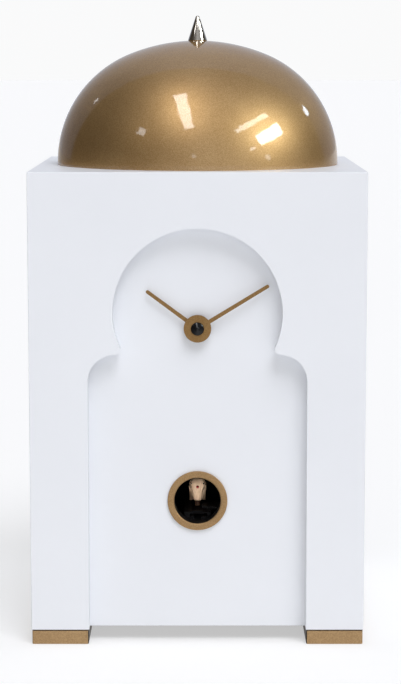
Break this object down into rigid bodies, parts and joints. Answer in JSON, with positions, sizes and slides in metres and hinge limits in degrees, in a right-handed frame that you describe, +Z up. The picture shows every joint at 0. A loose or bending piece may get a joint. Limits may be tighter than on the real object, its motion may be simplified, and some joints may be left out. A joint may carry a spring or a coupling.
{
  "type": "cuckoo clock",
  "caption": "Square white case on two bronze runner feet, keyhole niche with two bar hands and a round bird port, bronze dome with a cone finial on top.",
  "frame": {"origin": "on the floor under the middle of the case", "axes": "+Z up, the front with the hands and the port faces -Y, +X to the right as seen from the front"},
  "size_m": [0.25, 0.25, 0.471],
  "materials": {
    "case_lacquer": "satin white lacquer over MDF",
    "bare_board": "raw MDF and pine, sanded",
    "foot_bronze": "bronze lacquer over MDF",
    "back_board": "black stained hardboard",
    "dome_bronze": "bronze flake paint under a clear gloss coat",
    "ring_bronze": "bronze satin paint",
    "hand_bronze": "bronze anodised, satin",
    "bright_nickel": "polished nickel plate",
    "zinc_steel": "zinc plated steel",
    "black_gloss": "black, polished",
    "black_plastic": "black, fine spark texture",
    "gear_white": "natural acetal",
    "gear_black": "black acetal",
    "seal_rubber": "black rubber",
    "turned_brass": "turned brass",
    "stator_iron": "annealed lamination",
    "coil_copper": "enamelled copper wire on a bobbin",
    "circuit_board": "green solder mask with parts",
    "rotor_magnet": "bonded magnet on a plastic pinion",
    "motor_can": "pressed steel can",
    "platform_grey": "dark grey acetal",
    "bird_wood": "natural limewood, fine grain",
    "peg_wood": "brown stained dowel",
    "beak_red": "red paint",
    "eye_black": "black paint",
    "speaker_steel": "pressed steel basket",
    "speaker_paper": "black paper cone",
    "speaker_ferrite": "ferrite ring",
    "cell_jacket": "plain printed steel jacket",
    "contact_nickel": "nickel plated spring strip",
    "lead_red": "red PVC sleeve",
    "lead_black": "black PVC sleeve"
  },
  "bodies": {
    "case": {"front_fascia": "case_lacquer", "dial_panel": "case_lacquer", "side_left": "case_lacquer", "side_right": "case_lacquer", "top_panel": "case_lacquer", "bottom_panel": "case_lacquer", "back_battens": "bare_board", "back_cover": "back_board", "back_cover_screws": "zinc_steel", "foot_left": "foot_bronze", "foot_right": "foot_bronze", "dome_shell": "dome_bronze", "dome_disc": "bare_board", "finial": "bright_nickel", "tie_rod": "zinc_steel", "tie_rod_nut": "zinc_steel", "cuckoo_ring": "ring_bronze", "movement_front": "black_plastic", "movement_back": "black_plastic", "movement_washer": "seal_rubber", "fixing_nut": "turned_brass", "movement_stator": "stator_iron", "movement_coil": "coil_copper", "movement_board": "circuit_board", "cuckoo_housing": "black_plastic", "drive_motor": "motor_can", "speaker_frame": "speaker_steel", "speaker_cone": "speaker_paper", "speaker_magnet": "speaker_ferrite", "control_board": "circuit_board", "battery_box": "black_plastic", "battery_cells": "cell_jacket", "battery_contacts": "contact_nickel", "battery_lead": "lead_red", "speaker_lead": "lead_black", "movement_lead": "lead_black", "motor_lead": "lead_red"},
    "minute": {"minute_arbor": "turned_brass", "centre_wheel": "gear_white", "minute_hand": "hand_bronze", "hand_nut": "black_gloss"},
    "hour": {"hour_wheel": "gear_white", "hour_hand": "hand_bronze"},
    "minute_gear": {"minute_wheel": "gear_white"},
    "knob": {"setting_knob": "gear_white"},
    "third": {"third_wheel": "gear_white"},
    "seconds": {"seconds_wheel": "gear_white"},
    "fifth": {"fifth_wheel": "gear_white"},
    "rotor": {"rotor": "rotor_magnet"},
    "bird": {"bird_carriage": "platform_grey", "bird_peg": "peg_wood", "bird_body": "bird_wood", "bird_wings": "bird_wood", "bird_beak": "beak_red", "bird_eyes": "eye_black"},
    "drive": {"drive_gear": "gear_black"},
    "motor": {"motor_pinion": "turned_brass"},
    "door": {"battery_door": "black_plastic"},
    "switch": {"mode_switch": "gear_white"},
    "volume": {"volume_knob": "black_plastic"}
  },
  "joints": [
    {"name": "minute_spin", "type": "hinge", "parent": "case", "child": "minute", "pos_m": [0, -0.1, 0.239], "axis": [0, 1, 0], "continuous": true},
    {"name": "hour_spin", "type": "hinge", "parent": "case", "child": "hour", "pos_m": [0, -0.1, 0.239], "axis": [0, 1, 0], "continuous": true},
    {"name": "minute_gear_spin", "type": "hinge", "parent": "case", "child": "minute_gear", "pos_m": [-0.00849, -0.1, 0.24749], "axis": [0, 1, 0], "continuous": true},
    {"name": "knob_spin", "type": "hinge", "parent": "case", "child": "knob", "pos_m": [-0.01697, -0.1, 0.25597], "axis": [0, 1, 0], "continuous": true},
    {"name": "third_spin", "type": "hinge", "parent": "case", "child": "third", "pos_m": [0.00841, -0.096, 0.23059], "axis": [0, 1, 0], "continuous": true},
    {"name": "seconds_spin", "type": "hinge", "parent": "case", "child": "seconds", "pos_m": [0.01478, -0.096, 0.23695], "axis": [0, 1, 0], "continuous": true},
    {"name": "fifth_spin", "type": "hinge", "parent": "case", "child": "fifth", "pos_m": [0.01599, -0.096, 0.24384], "axis": [0, 1, 0], "continuous": true},
    {"name": "rotor_spin", "type": "hinge", "parent": "case", "child": "rotor", "pos_m": [0.01599, -0.096, 0.24984], "axis": [0, 1, 0], "continuous": true},
    {"name": "bird_slide", "type": "slide", "parent": "case", "child": "bird", "axis": [0, -1, 0], "range_m": [0, 0.055]},
    {"name": "drive_spin", "type": "hinge", "parent": "case", "child": "drive", "pos_m": [0.0132, -0.08, 0.095], "axis": [0, 0, 1], "continuous": true},
    {"name": "motor_spin", "type": "hinge", "parent": "case", "child": "motor", "pos_m": [0.0257, -0.08, 0.095], "axis": [0, 0, 1], "continuous": true},
    {"name": "door_slide", "type": "slide", "parent": "case", "child": "door", "axis": [0, 0, 1], "range_m": [0, 0.062]},
    {"name": "switch_slide", "type": "slide", "parent": "case", "child": "switch", "axis": [1, 0, 0], "range_m": [-0.002, 0.002]},
    {"name": "volume_turn", "type": "hinge", "parent": "case", "child": "volume", "pos_m": [0.068, 0.115, 0.22], "axis": [0, 1, 0], "range_deg": [-140, 140]}
  ],
  "couplings": [
    {"joint": "hour_spin", "follows": "minute_spin", "ratio": 0.083333},
    {"joint": "minute_gear_spin", "follows": "minute_spin", "ratio": -0.33333},
    {"joint": "knob_spin", "follows": "minute_spin", "ratio": 1},
    {"joint": "third_spin", "follows": "minute_spin", "ratio": -7.5},
    {"joint": "seconds_spin", "follows": "minute_spin", "ratio": 60},
    {"joint": "fifth_spin", "follows": "minute_spin", "ratio": -360},
    {"joint": "rotor_spin", "follows": "minute_spin", "ratio": 1800},
    {"joint": "drive_spin", "follows": "bird_slide", "rad_per_m": 156.25},
    {"joint": "motor_spin", "follows": "bird_slide", "rad_per_m": -625}
  ]
}
